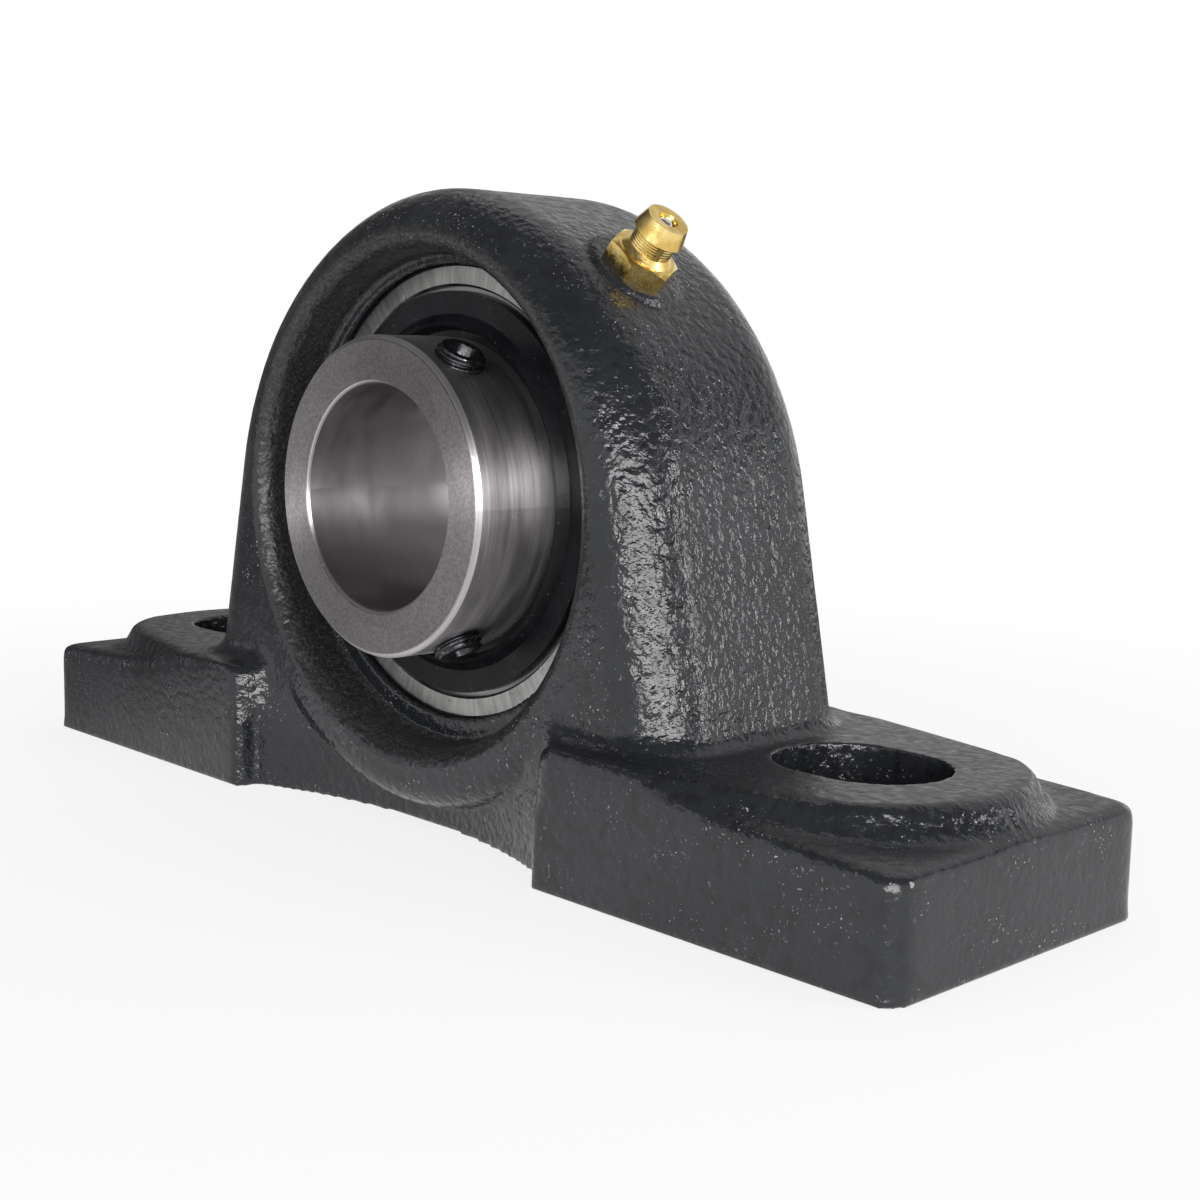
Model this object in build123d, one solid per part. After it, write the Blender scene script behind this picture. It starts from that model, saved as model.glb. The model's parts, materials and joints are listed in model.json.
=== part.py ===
from build123d import *
import os
from math import acos, atan2, cos, pi, radians, sin, sqrt, tan

# Two-bolt pillow block: a cast-iron housing whose spherical seat carries a
# sealed, self-aligning ball-bearing insert, locked to its shaft by two set
# screws and greased through a nipple.
#
# Millimetres. +X runs along the feet, +Y along the shaft towards the short end
# of the inner ring, +Z up. The origin lies in the base plane, under the middle
# of the bearing.

# ---------------------------------------------------------------- housing
SHAFT_HEIGHT = 42.9          # base plane to shaft axis
BASE_LENGTH = 165.4
BASE_WIDTH = 45.8
FOOT_INNER_X = 30.4          # where each foot begins
FOOT_LEDGE = 13.2            # height of the foot at its outer end
LEDGE_RISE = 2.6             # the ledge rises by this up to the foot's inner end
PAD_HEIGHT = 17.1            # height of the bolt pad
PAD_DEPTH = 6.0              # how far the pad's drafted side runs down
PAD_DRAFT = 27.0
PAD_TOP_R = 18.8             # rounded outer end of the pad, at its top
PAD_FLANK = 17.5 / 4.1       # run of the pad's flank to each mm that it narrows
PAD_OVERLAP = 0.2            # the pad's top overhangs the foot's wall by this
PAD_EDGE_R = 1.3
PAD_ROOT_R = 2.2
PAD_SPLIT = 1.0              # the pad's root is rounded from here on past PAD_INNER_X
FOOT_CORNER_R = 3.0
FOOT_END_R = 1.5             # upright corners at the foot's inner end
FOOT_EDGE_R = 1.0
BOLT_FROM_END = 22.2         # middle of a bolt slot to the foot's outer end
BOLT_SPACING = BASE_LENGTH - 2 * BOLT_FROM_END
SLOT_LENGTH = 21.0
SLOT_WIDTH = 17.0
PAD_INNER_X = BOLT_SPACING / 2 - PAD_FLANK * (BASE_WIDTH / 2 - PAD_TOP_R)

BODY_FRONT_Y = -18.0
BODY_BACK_Y = 16.5
BODY_TOP_Z = 81.6
CROWN_R = 37.6               # arc over the top of the body
CROWN_HALF_ANGLE = 21.0
SHOULDER_R = 45.0            # larger arc from the crown down to the flank
FLARE_ANGLE = 11.5           # the flank leans out by this towards the feet
BODY_EDGE_R = 8.4
ROOT_R = 2.6                 # fillet between the body and the pads

RING_BOSS_R = 40.2           # raised ring face round the pocket
RING_BOSS_EDGE = 3.4
WEB_DEPTH = 4.4              # how far the web lies behind the ring face
WEB_SWEEP_R = 78.5           # the web's hollow curve, seen from above
WEB_GAP = 2.0                # the web's shoulders stand off the ring by this

SEAT_HALF_WIDTH = 10.8
SEAT_CLEARANCE = 0.03
POCKET_R = 31.4              # pocket wall where it meets the seat's shelf
POCKET_DRAFT = 2.0
POCKET_DROP = 0.8            # the cored pocket sits low by this much
POCKET_LIP_R = 3.0
POCKET_LIP_CREST = 0.12      # the lip's round would end this far in front of the face
NOTCH_WIDTH = 19.5           # loading notches at the back of the seat
NOTCH_R = 31.1

# ---------------------------------------------------------------- insert
OUTER_SPHERE_R = 31.0
OUTER_HALF_WIDTH = 9.5
OUTER_CHAMFER = 0.5
OUTER_LAND_R = 25.8
SEAL_SEAT_R = 26.5
SEAL_SEAT_Y = 7.0
GREASE_Y = -5.0              # plane of the grease groove and holes
GREASE_GROOVE_W = 3.2
GREASE_GROOVE_DEPTH = 0.8
GREASE_HOLE_R = 1.0

BORE_R = 28.575 / 2          # 1 1/8 inch shaft
INNER_FRONT_Y = -22.2
INNER_BACK_Y = 15.9
INNER_R = 20.15
INNER_NECK_R = 20.0          # relieved seat for the flingers and seal lips
INNER_COLLAR_Y = 12.0        # the neck lies between the two collars
INNER_CHAMFER = 0.65
BORE_CHAMFER = 0.4

BALL_COUNT = 9
BALL_R = 9.525 / 2
PITCH_R = 23.0
RACE_R = 4.95
RACE_CLEARANCE = 0.03
FIRST_BALL_ANGLE = 90.0

CAGE_IN_R = 21.4
CAGE_OUT_R = 24.6
CAGE_SHEET = 0.75
CAGE_POCKET_CLEARANCE = 0.08
RIVET_R = 0.8
RIVET_HEAD_R = 1.3
RIVET_HEAD_H = 0.5
RIVET_FIT = 0.01

SEAL_SHEET = 0.6
SEAL_CARRIER_IN_R = 22.0
SEAL_RIM = 0.6
SEAL_RIM_Y = 8.6
SEAL_LIP_CLEARANCE = 0.05
SEAL_LIP_BACK_Y = 8.3
SEAL_LIP_OUT_R = 23.6
SEAL_LIP_IN_R = 21.2         # inside of the lip beside its carrier
SEAL_LIP_THROAT_R = 21.1     # and at its front
SEAL_FIT = 0.01

FLINGER_R = 25.9
FLINGER_FACE_Y = 10.2
FLINGER_SHEET = 0.6
FLINGER_HUB_Y = 8.7
FLINGER_HUB_R = 20.9
FLINGER_CURL_Y = 11.4
FLINGER_CURL_R = 21.9
FLINGER_FIT = 0.01

# ---------------------------------------------------------------- set screws
SCREW_R = 3.125
SCREW_CLEARANCE = 0.05
SCREW_LENGTH = 6.35
SCREW_Y = -16.9
SCREW_ANGLES = {"upper": 60.0, "lower": -60.0}
SCREW_STAND = {"upper": 1.3, "lower": 1.5}   # above the inner ring's surface
SCREW_CHAMFER = 0.5
SOCKET_AF = 3.175
SOCKET_DEPTH = 2.6
CUP_R = 1.5
CUP_DEPTH = 0.6

# ---------------------------------------------------------------- nipple
NIPPLE_ANGLE = 47.0
NIPPLE_Y = -3.7
NIPPLE_SEAT_R = 39.5         # top of the nipple's boss, from the shaft axis
NIPPLE_BOSS_R = 6.2
NIPPLE_BOSS_EDGE = 0.6
NIPPLE_SPOT_SPARE = 0.4      # a low seat is cleared by this round the hexagon
NIPPLE_HOLE_R = 1.0          # leads from the nipple to the groove
NIPPLE_SHANK_R = 3.1
NIPPLE_SHANK_L = 5.0
NIPPLE_SHANK_CHAMFER = 0.5
NIPPLE_THREAD_FIT = 0.03
NIPPLE_HOLE_SPARE = 0.4      # the tapped hole is deeper than the shank by this
HEX_AF = 7.9
HEX_HEIGHT = 2.2
HEX_CHAMFER = 0.45
HEX_TURN = 31.0              # how far a corner stands from the shaft's direction
NECK_R = 2.7
NECK_FLARE = 0.7             # the neck widens by this at the hexagon
NECK_TOP_Z = 4.75
HEAD_R = 3.27                # lower rim of the head
HEAD_LOW_Z = 5.05
HEAD_TOP_R = 2.65
NIPPLE_TOP_Z = 7.2
MOUTH_R = 1.31
THROAT_R = 1.08              # the check ball closes this throat from below
THROAT_Z = 6.65
CHANNEL_R = 1.45
CHANNEL_TOP_Z = 6.1
CHANNEL_LOW_Z = 0.6
CHANNEL_SMALL_R = 0.8
CHECK_BALL_R = 1.35
CHECK_BALL_SEAT = 0.02
SPRING_COIL_R = 1.1
SPRING_WIRE_R = 0.2
SPRING_GAP = 0.02
SPRING_TURNS = 5

SHAFT = Axis((0, 0, SHAFT_HEIGHT), (0, 1, 0))


def face_of(*edges):
    return make_face(Wire(list(edges)))


def turned(points, drop=0.0):
    """Solid turned about the shaft axis; points are (radius, y)."""
    z = SHAFT_HEIGHT - drop
    outline = Polyline(*[(r, y, z) for r, y in points], close=True)
    axis = Axis((0, 0, z), (0, 1, 0))
    return revolve(make_face(outline), axis=axis, revolution_arc=360)


def tube(r_in, r_out, y_low, y_high):
    return turned([(r_in, y_low), (r_out, y_low), (r_out, y_high), (r_in, y_high)])


def at_angle(radius, angle, y=0.0):
    """Point at a radius and an angle from +X round the shaft axis."""
    a = radians(angle)
    return (radius * cos(a), y, SHAFT_HEIGHT + radius * sin(a))


def radial_plane(radius, angle, y=0.0):
    """Plane whose +Z points away from the shaft axis."""
    a = radians(angle)
    return Plane(
        origin=at_angle(radius, angle, y), x_dir=(0, 1, 0), z_dir=(cos(a), 0, sin(a))
    )


def radial_rod(radius, r_low, r_high, angle, y):
    rod = Cylinder(radius, r_high - r_low, align=(Align.CENTER, Align.CENTER, Align.MIN))
    return radial_plane(r_low, angle, y) * rod


def mirrored(shape):
    """The same piece on the other side of the bearing's middle plane."""
    return mirror(shape, about=Plane.XZ)


def arc(centre, radius, angle_1, angle_2, y):
    """Arc in a plane of constant y; angles run from straight up towards +X."""
    def point(angle):
        a = radians(angle)
        return (centre[0] + radius * sin(a), y, centre[1] + radius * cos(a))

    return ThreePointArc(point(angle_1), point((angle_1 + angle_2) / 2), point(angle_2))


# ================================================================ housing
def shoulder_centre():
    """Centre (x, z) of the shoulder arc, tangent inside to the crown arc."""
    step = CROWN_R - SHOULDER_R
    lean = radians(CROWN_HALF_ANGLE)
    return (step * sin(lean), BODY_TOP_Z - CROWN_R + step * cos(lean))


def half_body():
    """The +X half of the arched body, before its pocket is cut."""
    y = BODY_FRONT_Y
    crown_centre = (0.0, BODY_TOP_Z - CROWN_R)
    crown = arc(crown_centre, CROWN_R, 0, CROWN_HALF_ANGLE, y)
    flank_angle = 90.0 - FLARE_ANGLE
    shoulder = arc(shoulder_centre(), SHOULDER_R, CROWN_HALF_ANGLE, flank_angle, y)
    turn = shoulder @ 1
    foot_x = turn.X + turn.Z * tan(radians(FLARE_ANGLE))
    outline = face_of(
        crown,
        shoulder,
        Line(turn, (foot_x, y, 0)),
        Line((foot_x, y, 0), (0, y, 0)),
        Line((0, y, 0), (0, y, BODY_TOP_Z)),
    )
    body = extrude(outline, amount=BODY_BACK_Y - BODY_FRONT_Y, dir=(0, 1, 0))
    rounded = [
        edge
        for edge in body.edges()
        if (abs(edge.center().Y - BODY_FRONT_Y) < 0.01 or abs(edge.center().Y - BODY_BACK_Y) < 0.01)
        and edge.center().Z > 1
        and edge.center().X > 1
    ]
    return fillet(rounded, BODY_EDGE_R)


def pad_outline(z):
    """Plan of a bolt pad's top: full width at the body, round at its outer end."""
    centre_x, half = BOLT_SPACING / 2, BASE_WIDTH / 2 + PAD_OVERLAP
    dx = centre_x - PAD_INNER_X
    # The flank runs from the inner corner to a tangent on the round end.
    away = atan2(half, -dx) - acos(PAD_TOP_R / sqrt(dx * dx + half * half))
    touch = (centre_x + PAD_TOP_R * cos(away), PAD_TOP_R * sin(away))
    return face_of(
        Line((0, -half, z), (PAD_INNER_X, -half, z)),
        Line((PAD_INNER_X, -half, z), (touch[0], -touch[1], z)),
        ThreePointArc(
            (touch[0], -touch[1], z), (centre_x + PAD_TOP_R, 0, z), (touch[0], touch[1], z)
        ),
        Line((touch[0], touch[1], z), (PAD_INNER_X, half, z)),
        Line((PAD_INNER_X, half, z), (0, half, z)),
        Line((0, half, z), (0, -half, z)),
    )


def ledge_height(x):
    slope = LEDGE_RISE / (BASE_LENGTH / 2 - FOOT_INNER_X)
    return FOOT_LEDGE + (BASE_LENGTH / 2 - x) * slope


def foot_side(point):
    """Whether a point lies on the outer wall of the foot."""
    x, y = BASE_LENGTH / 2 - point.X, BASE_WIDTH / 2 - abs(point.Y)
    if x < FOOT_CORNER_R and y < FOOT_CORNER_R:
        reach = sqrt((FOOT_CORNER_R - x) ** 2 + (FOOT_CORNER_R - y) ** 2)
        return abs(reach - FOOT_CORNER_R) < 0.01
    if point.X < FOOT_INNER_X + FOOT_END_R and y < FOOT_END_R:
        reach = sqrt((FOOT_INNER_X + FOOT_END_R - point.X) ** 2 + (FOOT_END_R - y) ** 2)
        return abs(reach - FOOT_END_R) < 0.01
    return min(x, y) < 0.01


def foot():
    """The +X foot with its raised bolt pad, before the slot is cut."""
    half_length, wide = BASE_LENGTH / 2, 2 * BASE_WIDTH
    split, far = PAD_INNER_X + PAD_SPLIT, half_length + PAD_TOP_R
    ledge = face_of(
        Line((split, -wide / 2, 0), (far, -wide / 2, 0)),
        Line((far, -wide / 2, 0), (far, -wide / 2, ledge_height(far))),
        Line((far, -wide / 2, ledge_height(far)), (split, -wide / 2, ledge_height(split))),
        Line((split, -wide / 2, ledge_height(split)), (split, -wide / 2, 0)),
    )
    slab = extrude(ledge, amount=wide, dir=(0, 1, 0))
    pad = extrude(pad_outline(PAD_HEIGHT), amount=-PAD_DEPTH, dir=(0, 0, 1), taper=-PAD_DRAFT)
    rim = [e for e in pad.edges() if e.center().Z > PAD_HEIGHT - 0.01 and e.center().X > 1]
    pad = fillet(rim, PAD_EDGE_R)
    start, tall = FOOT_INNER_X / 6, 4 * PAD_HEIGHT
    outer_pad = pad & Pos(split, 0, 0) * Box(
        far, wide, tall, align=(Align.MIN, Align.CENTER, Align.CENTER)
    )
    outer_part = slab + outer_pad
    crease = [
        e
        for e in outer_part.edges()
        if abs(e.center().Z - ledge_height(e.center().X)) < 0.02 * PAD_HEIGHT
        and split + 0.5 < e.center().X < far - PAD_TOP_R / 2
        and abs(e.center().Y) < BASE_WIDTH * 0.7
    ]
    outer_part = fillet(crease, PAD_ROOT_R)
    inner_pad = pad & Pos(start, 0, 0) * Box(
        split - start, wide, tall, align=(Align.MIN, Align.CENTER, Align.CENTER)
    )
    under = Box(split, wide, PAD_HEIGHT - PAD_DEPTH / 2, align=(Align.MIN, Align.CENTER, Align.MIN))
    whole = outer_part + (inner_pad + under)
    length = half_length - FOOT_INNER_X
    block = Pos(FOOT_INNER_X + length / 2, 0, 0) * Box(
        length, BASE_WIDTH, tall, align=(Align.CENTER, Align.CENTER, Align.MIN)
    )
    corners = block.edges().filter_by(Axis.Z)
    block = fillet([e for e in corners if e.center().X > half_length - 1], FOOT_CORNER_R)
    corners = block.edges().filter_by(Axis.Z)
    block = fillet([e for e in corners if e.center().X < FOOT_INNER_X + 0.1], FOOT_END_R)
    whole &= block
    outer = [
        e
        for e in whole.edges()
        if min((e @ 0).Z, (e @ 1).Z) > FOOT_LEDGE - 1
        and all(foot_side(e @ t) for t in (0, 0.3, 0.5, 0.7, 1))
    ]
    return fillet(outer, FOOT_EDGE_R)


def slots():
    both = []
    for side in (-1, 1):
        plan = Pos(side * BOLT_SPACING / 2, 0, -1) * SlotOverall(SLOT_LENGTH, SLOT_WIDTH)
        both.append(extrude(plan, amount=PAD_HEIGHT + 2, dir=(0, 0, 1)))
    return both


def ring_boss(face_y, sign, radius, edge, depth):
    """Round boss about the shaft with a rounded rim; its face lies in face_y."""
    z, inner = SHAFT_HEIGHT, face_y + sign * depth
    bend = edge * (1 - sqrt(0.5))
    profile = face_of(
        Line((0, face_y, z), (radius - edge, face_y, z)),
        ThreePointArc(
            (radius - edge, face_y, z),
            (radius - bend, face_y + sign * bend, z),
            (radius, face_y + sign * edge, z),
        ),
        Line((radius, face_y + sign * edge, z), (radius, inner, z)),
        Line((radius, inner, z), (0, inner, z)),
        Line((0, inner, z), (0, face_y, z)),
    )
    return revolve(profile, axis=SHAFT, revolution_arc=360)


def web_plan(face_y, sign, back_y, reach):
    """Between the web's hollow curve and a plane of constant y, as a block."""
    deep = face_y + sign * WEB_DEPTH
    side = deep - sign * (WEB_SWEEP_R - sqrt(WEB_SWEEP_R ** 2 - reach ** 2))
    plan = face_of(
        ThreePointArc((-reach, side, 0), (0, deep, 0), (reach, side, 0)),
        Line((reach, side, 0), (reach, back_y, 0)),
        Line((reach, back_y, 0), (-reach, back_y, 0)),
        Line((-reach, back_y, 0), (-reach, side, 0)),
    )
    return extrude(plan, amount=PAD_HEIGHT, dir=(0, 0, 1))


def web_shoulders(face_y, sign):
    """The web's ends, which sweep out past the body's face to meet the feet."""
    web = web_plan(face_y, sign, 0, FOOT_INNER_X + FOOT_END_R)
    gap = RING_BOSS_R + WEB_GAP
    return web - ring_boss(face_y, -sign, gap, WEB_GAP / 2, WEB_DEPTH)


def web_relief(face_y, sign):
    """What is cut away below the ring face, down to the swept-back web."""
    air = web_plan(face_y, sign, face_y - sign * WEB_DEPTH, FOOT_INNER_X)
    feet = Pos(0, 0, -1) * air + air
    return feet - ring_boss(face_y, sign, RING_BOSS_R, RING_BOSS_EDGE, 3 * WEB_DEPTH)


def pocket(face_y, sign):
    """Drafted pocket between the seat's shelf and the rounded ring face."""
    z = SHAFT_HEIGHT - POCKET_DROP
    shelf = -sign * SEAT_HALF_WIDTH
    crest_y = face_y - sign * POCKET_LIP_CREST
    lip_y = crest_y + sign * POCKET_LIP_R
    wall_r = POCKET_R + abs(lip_y - shelf) * tan(radians(POCKET_DRAFT))
    bend = POCKET_LIP_R * (1 - sqrt(0.5))
    mouth_r = wall_r + POCKET_LIP_R
    out = crest_y - sign * POCKET_LIP_R
    profile = face_of(
        Line((0, shelf, z), (POCKET_R, shelf, z)),
        Line((POCKET_R, shelf, z), (wall_r, lip_y, z)),
        ThreePointArc(
            (wall_r, lip_y, z), (wall_r + bend, crest_y + sign * bend, z), (mouth_r, crest_y, z)
        ),
        Line((mouth_r, crest_y, z), (mouth_r, out, z)),
        Line((mouth_r, out, z), (0, out, z)),
        Line((0, out, z), (0, shelf, z)),
    )
    return revolve(profile, axis=Axis((0, 0, z), (0, 1, 0)), revolution_arc=360)


def seat_cut():
    """The spherical seat, open at both sides."""
    z, radius, half = SHAFT_HEIGHT, OUTER_SPHERE_R + SEAT_CLEARANCE, SEAT_HALF_WIDTH + 1
    rim = sqrt(radius ** 2 - half ** 2)
    profile = face_of(
        ThreePointArc((rim, -half, z), (radius, 0, z), (rim, half, z)),
        Line((rim, half, z), (0, half, z)),
        Line((0, half, z), (0, -half, z)),
        Line((0, -half, z), (rim, -half, z)),
    )
    return revolve(profile, axis=SHAFT, revolution_arc=360)


def nipple_spot_face():
    """Keeps the hexagon's place clear where the body stands higher than the nipple's seat."""
    corner = HEX_AF / 2 / cos(pi / 6) + NIPPLE_SPOT_SPARE
    cutter = Cylinder(corner, NIPPLE_SEAT_R, align=(Align.CENTER, Align.CENTER, Align.MIN))
    return radial_plane(NIPPLE_SEAT_R, NIPPLE_ANGLE, NIPPLE_Y) * cutter


def nipple_boss():
    height = NIPPLE_SEAT_R - OUTER_SPHERE_R / 2 - SEAT_HALF_WIDTH
    boss = Cylinder(NIPPLE_BOSS_R, height, align=(Align.CENTER, Align.CENTER, Align.MAX))
    boss = fillet(boss.edges().sort_by(Axis.Z)[-1], NIPPLE_BOSS_EDGE)
    return radial_plane(NIPPLE_SEAT_R, NIPPLE_ANGLE, NIPPLE_Y) * boss


def housing():
    half = half_body() + foot()
    wall = min(BASE_WIDTH / 2 + BODY_FRONT_Y, BASE_WIDTH / 2 - BODY_BACK_Y)
    root = [
        e
        for e in half.edges()
        if abs(e.center().Z - PAD_HEIGHT) < 0.05
        and FOOT_INNER_X < e.center().X < BOLT_SPACING / 2 - SLOT_LENGTH / 2
        and BODY_FRONT_Y - 0.1 < e.center().Y < BODY_BACK_Y + 0.1
    ]
    half = fillet(root, min(ROOT_R, 0.7 * wall))
    whole = half + mirror(half, about=Plane.YZ)
    for slot in slots():
        whole -= slot
    for face_y, sign in ((BODY_FRONT_Y, 1), (BODY_BACK_Y, -1)):
        whole -= web_relief(face_y, sign)
        whole += web_shoulders(face_y, sign)
    whole -= nipple_spot_face()
    whole += nipple_boss()
    notch = tube(0, NOTCH_R, 0, SEAT_HALF_WIDTH + 1) & (
        Pos(0, 0, SHAFT_HEIGHT) * Box(3 * NOTCH_R, 3 * NOTCH_R, NOTCH_WIDTH)
    )
    whole -= notch
    whole -= seat_cut()
    whole -= pocket(BODY_FRONT_Y, 1)
    whole -= pocket(BODY_BACK_Y, -1)
    hole_r = NIPPLE_SHANK_R + NIPPLE_THREAD_FIT
    bottom = NIPPLE_SEAT_R - NIPPLE_SHANK_L - NIPPLE_HOLE_SPARE
    top = NIPPLE_SEAT_R + NIPPLE_TOP_Z
    whole -= radial_rod(hole_r, bottom, top, NIPPLE_ANGLE, NIPPLE_Y)
    inside = OUTER_SPHERE_R - GREASE_GROOVE_W
    whole -= radial_rod(NIPPLE_HOLE_R, inside, top, NIPPLE_ANGLE, NIPPLE_Y)
    return whole


# ================================================================ insert
def race(groove_r):
    """Ring-shaped cutter for a raceway whose bottom touches groove_r."""
    z = SHAFT_HEIGHT
    section = Plane((groove_r, 0, z)) * Circle(RACE_R)
    return revolve(section, axis=SHAFT, revolution_arc=360)


def outer_ring():
    z = SHAFT_HEIGHT
    w = OUTER_HALF_WIDTH
    edge_y = w - OUTER_CHAMFER
    edge_r = sqrt(OUTER_SPHERE_R ** 2 - edge_y ** 2)
    face_r = sqrt(OUTER_SPHERE_R ** 2 - w ** 2) - OUTER_CHAMFER
    points = [
        (edge_r, edge_y), (face_r, w), (SEAL_SEAT_R + 0.3, w), (SEAL_SEAT_R, w - 0.3),
        (SEAL_SEAT_R, SEAL_SEAT_Y), (OUTER_LAND_R, SEAL_SEAT_Y), (OUTER_LAND_R, -SEAL_SEAT_Y),
        (SEAL_SEAT_R, -SEAL_SEAT_Y), (SEAL_SEAT_R, 0.3 - w), (SEAL_SEAT_R + 0.3, -w),
        (face_r, -w), (edge_r, -edge_y),
    ]
    edges = [ThreePointArc((edge_r, -edge_y, z), (OUTER_SPHERE_R, 0, z), (edge_r, edge_y, z))]
    edges += [Line((a[0], a[1], z), (b[0], b[1], z)) for a, b in zip(points, points[1:])]
    ring = revolve(face_of(*edges), axis=SHAFT, revolution_arc=360)
    ring -= race(PITCH_R + BALL_R + RACE_CLEARANCE - RACE_R)
    groove_r = sqrt(OUTER_SPHERE_R ** 2 - GREASE_Y ** 2) - GREASE_GROOVE_DEPTH
    half = GREASE_GROOVE_W / 2
    ring -= tube(groove_r, OUTER_SPHERE_R + 1, GREASE_Y - half, GREASE_Y + half)
    for angle in (NIPPLE_ANGLE, NIPPLE_ANGLE + 180):
        ring -= radial_rod(GREASE_HOLE_R, OUTER_LAND_R - 1, OUTER_SPHERE_R, angle, GREASE_Y)
    return ring


def inner_ring():
    c, b, k = INNER_CHAMFER, BORE_CHAMFER, INNER_COLLAR_Y
    ring = turned(
        [
            (BORE_R, INNER_FRONT_Y + b), (BORE_R + b, INNER_FRONT_Y),
            (INNER_R - c, INNER_FRONT_Y), (INNER_R, INNER_FRONT_Y + c),
            (INNER_R, -k), (INNER_NECK_R, -k), (INNER_NECK_R, k), (INNER_R, k),
            (INNER_R, INNER_BACK_Y - c), (INNER_R - c, INNER_BACK_Y),
            (BORE_R + b, INNER_BACK_Y), (BORE_R, INNER_BACK_Y - b),
        ]
    )
    ring -= race(PITCH_R - BALL_R - RACE_CLEARANCE + RACE_R)
    for angle in SCREW_ANGLES.values():
        ring -= radial_rod(SCREW_R + SCREW_CLEARANCE, BORE_R - 2, INNER_R + 2, angle, SCREW_Y)
    return ring


def ball_angle(index):
    return FIRST_BALL_ANGLE + index * 360 / BALL_COUNT


def balls(radius):
    """Nine spheres on the pitch circle, their poles along the shaft."""
    turned_sphere = Rot(90, 0, 0) * Sphere(radius)
    return [Pos(*at_angle(PITCH_R, ball_angle(i))) * turned_sphere for i in range(BALL_COUNT)]


def rivet_angles():
    return [ball_angle(i + 0.5) for i in range(BALL_COUNT)]


def cage_half():
    """Front half of the riveted ribbon cage, a pressed sheet with round pockets."""
    pocket_r = BALL_R + CAGE_POCKET_CLEARANCE
    cup_r = pocket_r + CAGE_SHEET
    band = tube(CAGE_IN_R, CAGE_OUT_R, -cup_r - 1, 0)
    cups = [cup & band for cup in balls(cup_r)]
    ribbon = tube(CAGE_IN_R, CAGE_OUT_R, -CAGE_SHEET, 0).fuse(*cups)
    holes = [
        Pos(*at_angle(PITCH_R, angle)) * (Rot(90, 0, 0) * Cylinder(RIVET_R + RIVET_FIT, 5 * CAGE_SHEET))
        for angle in rivet_angles()
    ]
    return ribbon.cut(*balls(pocket_r), *holes)


def rivets():
    made = []
    for angle in rivet_angles():
        shank = Rot(90, 0, 0) * Cylinder(RIVET_R, 2 * CAGE_SHEET)
        rivet = shank
        for side in (-1, 1):
            offset = side * (CAGE_SHEET + RIVET_HEAD_H / 2)
            rivet += Pos(0, offset, 0) * (Rot(90, 0, 0) * Cylinder(RIVET_HEAD_R, RIVET_HEAD_H))
        made.append(Pos(*at_angle(PITCH_R, angle)) * rivet)
    return Compound(children=made)


def seal_carrier():
    """Front pressed-steel washer, seated in the outer ring's recess."""
    rim = SEAL_SEAT_R - SEAL_FIT
    y = -SEAL_SEAT_Y
    return turned(
        [
            (SEAL_CARRIER_IN_R, y), (rim, y), (rim, -SEAL_RIM_Y), (rim - SEAL_RIM, -SEAL_RIM_Y),
            (rim - SEAL_RIM, y - SEAL_SHEET), (SEAL_CARRIER_IN_R, y - SEAL_SHEET),
        ]
    )


def seal_lip():
    """Front rubber lip, bonded to the carrier and riding on the inner ring's neck."""
    tip = INNER_NECK_R + SEAL_LIP_CLEARANCE
    y = -SEAL_SEAT_Y
    back = -SEAL_LIP_BACK_Y
    return turned(
        [
            (tip, y - 0.15), (tip, y - 0.55), (SEAL_LIP_THROAT_R, back), (SEAL_LIP_OUT_R, back),
            (SEAL_LIP_OUT_R, y - SEAL_SHEET), (SEAL_CARRIER_IN_R, y - SEAL_SHEET),
            (SEAL_CARRIER_IN_R, y), (SEAL_LIP_IN_R, y),
        ]
    )


def flinger():
    """Front slinger disc: pressed hub, curled throat and flat flange."""
    hub_in = INNER_NECK_R + FLINGER_FIT
    face, back = -FLINGER_FACE_Y, FLINGER_SHEET - FLINGER_FACE_Y
    return turned(
        [
            (hub_in, -FLINGER_HUB_Y), (hub_in, back), (FLINGER_HUB_R, back),
            (FLINGER_CURL_R - 0.45, -FLINGER_CURL_Y + 0.25), (FLINGER_CURL_R, -FLINGER_CURL_Y),
            (FLINGER_CURL_R + 0.35, -FLINGER_CURL_Y + 0.35), (FLINGER_CURL_R + 1.1, face),
            (FLINGER_R, face), (FLINGER_R, back), (FLINGER_CURL_R + 0.75, back),
            (FLINGER_CURL_R, -FLINGER_HUB_Y),
        ]
    )


# ================================================================ set screws
def set_screw(name):
    """Cup-point socket set screw; its +Z end is the one with the socket."""
    z_top = SCREW_LENGTH
    profile = Polyline(
        (0, CUP_DEPTH), (CUP_R, 0), (SCREW_R - SCREW_CHAMFER, 0), (SCREW_R, SCREW_CHAMFER),
        (SCREW_R, z_top - SCREW_CHAMFER), (SCREW_R - SCREW_CHAMFER, z_top), (0, z_top),
        close=True,
    )
    screw = revolve(make_face(Plane.XZ * profile), axis=Axis.Z, revolution_arc=360)
    socket = Pos(0, 0, z_top - SOCKET_DEPTH) * RegularPolygon(
        SOCKET_AF / 2, 6, major_radius=False
    )
    screw -= extrude(socket, amount=SOCKET_DEPTH + 1, dir=(0, 0, 1))
    tip = INNER_R + SCREW_STAND[name] - SCREW_LENGTH
    return radial_plane(tip, SCREW_ANGLES[name], SCREW_Y) * screw


# ================================================================ grease nipple
NIPPLE_PLACE = radial_plane(NIPPLE_SEAT_R, NIPPLE_ANGLE, NIPPLE_Y)
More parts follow.
